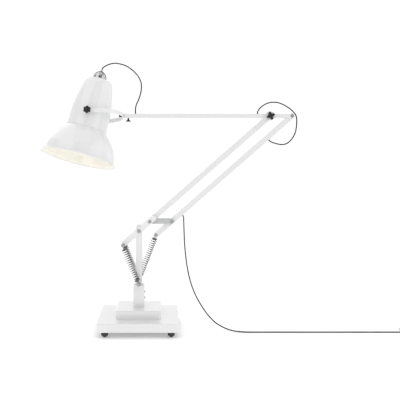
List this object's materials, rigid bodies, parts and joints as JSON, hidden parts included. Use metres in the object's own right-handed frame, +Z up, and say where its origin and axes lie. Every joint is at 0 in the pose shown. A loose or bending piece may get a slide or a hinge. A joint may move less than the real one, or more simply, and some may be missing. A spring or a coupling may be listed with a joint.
{
  "type": "adjustable arm floor lamp",
  "caption": "Floor-standing lamp with a weighted square base on ball castors, a spring-balanced parallel-bar arm, and a tilting bell shade held in a fork.",
  "frame": {"origin": "on the floor, under the base's swivel axis", "axes": "+Z up; +X from the shade's side towards the elbow, along the arm; the arm lies in the plane Y = 0; the base's front faces -Y"},
  "size_m": [2.1626, 0.493, 1.5294],
  "materials": {
    "white_enamel": "glossy white enamel",
    "white_tube": "glossy white enamel on aluminium",
    "grey_link": "satin grey enamel",
    "plated_steel": "bright plated",
    "spring_steel": "plated spring wire",
    "chrome": "polished",
    "cast_iron": "as cast",
    "black_plastic": "moulded",
    "castor_plastic": "moulded, glossy",
    "bush_plastic": "plain bearing plastic",
    "holder_plastic": "glazed",
    "bulb_glass": "opal",
    "lead_rubber": "braided dark sleeve",
    "grommet_rubber": "moulded",
    "dark_screw": "blackened"
  },
  "bodies": {
    "base": {"castor_cups": "plated_steel", "lower_step": "white_enamel", "bottom_plate": "plated_steel", "bottom_plate_screws": "plated_steel", "ballast": "cast_iron", "middle_step": "white_enamel", "tower": "white_tube", "spindle_bushes": "bush_plastic", "tower_clamp_screws": "dark_screw"},
    "ball_front_left": {"castor_ball_front_left": "castor_plastic"},
    "ball_front_right": {"castor_ball_front_right": "castor_plastic"},
    "ball_rear_left": {"castor_ball_rear_left": "castor_plastic"},
    "ball_rear_right": {"castor_ball_rear_right": "castor_plastic"},
    "swivel": {"swivel_block": "white_enamel", "swivel_spindle": "plated_steel", "cheek_front": "white_enamel", "cheek_rear": "white_enamel", "spring_pins": "plated_steel", "upright_bolt": "plated_steel", "upright_washers": "bush_plastic", "spring_front": "spring_steel", "spring_rear": "spring_steel", "spring_middle": "spring_steel", "floor_lead": "lead_rubber", "lead_coil": "lead_rubber", "plug": "black_plastic", "cord_tie": "black_plastic"},
    "lower_arm": {"main_bar": "white_tube", "lever_plate_front": "white_enamel", "lever_plate_rear": "white_enamel", "lever_pins": "plated_steel", "arm_spacers": "plated_steel", "elbow_cheeks": "white_enamel", "elbow_bolt": "plated_steel"},
    "elbow_knob": {"elbow_knob": "black_plastic"},
    "link": {"link_plates": "grey_link"},
    "parallel_bar": {"second_bar": "white_tube", "bar_pins": "plated_steel", "lead_in_bar": "lead_rubber", "bar_grommets": "grommet_rubber"},
    "upper_arm": {"arm_tube": "white_tube", "arm_end_plug": "plated_steel", "tail_bolt": "plated_steel", "lead_in_arm": "lead_rubber", "arm_grommets": "grommet_rubber", "elbow_lead": "lead_rubber"},
    "thumb_screw": {"thumb_screw": "black_plastic"},
    "fork": {"fork_strap": "white_tube", "yoke_screw": "dark_screw", "fork_lead": "lead_rubber"},
    "shade": {"shade_cover": "white_tube", "shade_bell": "white_tube", "pivot_studs": "plated_steel", "top_dome": "chrome", "cable_gland": "chrome", "lamp_holder": "holder_plastic", "bulb": "bulb_glass", "shade_lead": "lead_rubber"},
    "shade_knob_near": {"shade_knob_near": "black_plastic"},
    "shade_knob_far": {"shade_knob_far": "black_plastic"}
  },
  "joints": [
    {"name": "ball_roll_front_left", "type": "hinge", "parent": "base", "child": "ball_front_left", "pos_m": [-0.182, -0.197, 0.016], "axis": [0, 1, 0], "continuous": true},
    {"name": "ball_roll_front_right", "type": "hinge", "parent": "base", "child": "ball_front_right", "pos_m": [0.182, -0.197, 0.016], "axis": [0, 1, 0], "continuous": true},
    {"name": "ball_roll_rear_left", "type": "hinge", "parent": "base", "child": "ball_rear_left", "pos_m": [-0.182, 0.197, 0.016], "axis": [0, 1, 0], "continuous": true},
    {"name": "ball_roll_rear_right", "type": "hinge", "parent": "base", "child": "ball_rear_right", "pos_m": [0.182, 0.197, 0.016], "axis": [0, 1, 0], "continuous": true},
    {"name": "base_swivel", "type": "hinge", "parent": "base", "child": "swivel", "pos_m": [0, 0, 0.25], "axis": [0, 0, 1], "range_deg": [-170, 170]},
    {"name": "lower_arm_pivot", "type": "hinge", "parent": "swivel", "child": "lower_arm", "pos_m": [0, 0, 0.559], "axis": [0, -1, 0], "range_deg": [-25, 32], "deforming": ["spring_front", "spring_rear", "spring_middle", "floor_lead"]},
    {"name": "elbow", "type": "hinge", "parent": "lower_arm", "child": "upper_arm", "pos_m": [0.75241, 0, 1.21769], "axis": [0, -1, 0], "range_deg": [-80, 15], "deforming": ["elbow_lead"]},
    {"name": "elbow_knob_turn", "type": "hinge", "parent": "lower_arm", "child": "elbow_knob", "pos_m": [0.75241, -0.03, 1.21769], "axis": [0, -1, 0], "range_deg": [0, 360]},
    {"name": "parallel_bar_pivot", "type": "hinge", "parent": "upper_arm", "child": "parallel_bar", "pos_m": [0.87872, 0, 1.21769], "axis": [0, -1, 0], "range_deg": [-15, 80]},
    {"name": "link_pivot", "type": "hinge", "parent": "lower_arm", "child": "link", "pos_m": [0.0617, 0, 0.61301], "axis": [0, -1, 0], "range_deg": [-80, 15]},
    {"name": "thumb_screw_turn", "type": "hinge", "parent": "upper_arm", "child": "thumb_screw", "pos_m": [-0.062, 0, 1.195], "axis": [0, 0, 1], "range_deg": [0, 180]},
    {"name": "fork_twist", "type": "hinge", "parent": "upper_arm", "child": "fork", "pos_m": [-0.084, 0, 1.21769], "axis": [1, 0, 0], "range_deg": [-78, 102], "deforming": ["fork_lead"]},
    {"name": "shade_tilt", "type": "hinge", "parent": "fork", "child": "shade", "pos_m": [-0.285, 0, 1.21769], "axis": [0, 0.9781, -0.2079], "range_deg": [-40, 35], "deforming": ["shade_lead"]},
    {"name": "near_knob_turn", "type": "hinge", "parent": "shade", "child": "shade_knob_near", "pos_m": [-0.285, -0.13694, 1.2468], "axis": [0, -0.9781, 0.2079], "range_deg": [0, 360]},
    {"name": "far_knob_turn", "type": "hinge", "parent": "shade", "child": "shade_knob_far", "pos_m": [-0.285, 0.13694, 1.18858], "axis": [0, 0.9781, -0.2079], "range_deg": [0, 360]}
  ],
  "couplings": [
    {"joint": "parallel_bar_pivot", "follows": "elbow", "ratio": -1},
    {"joint": "link_pivot", "follows": "elbow", "ratio": 1}
  ]
}
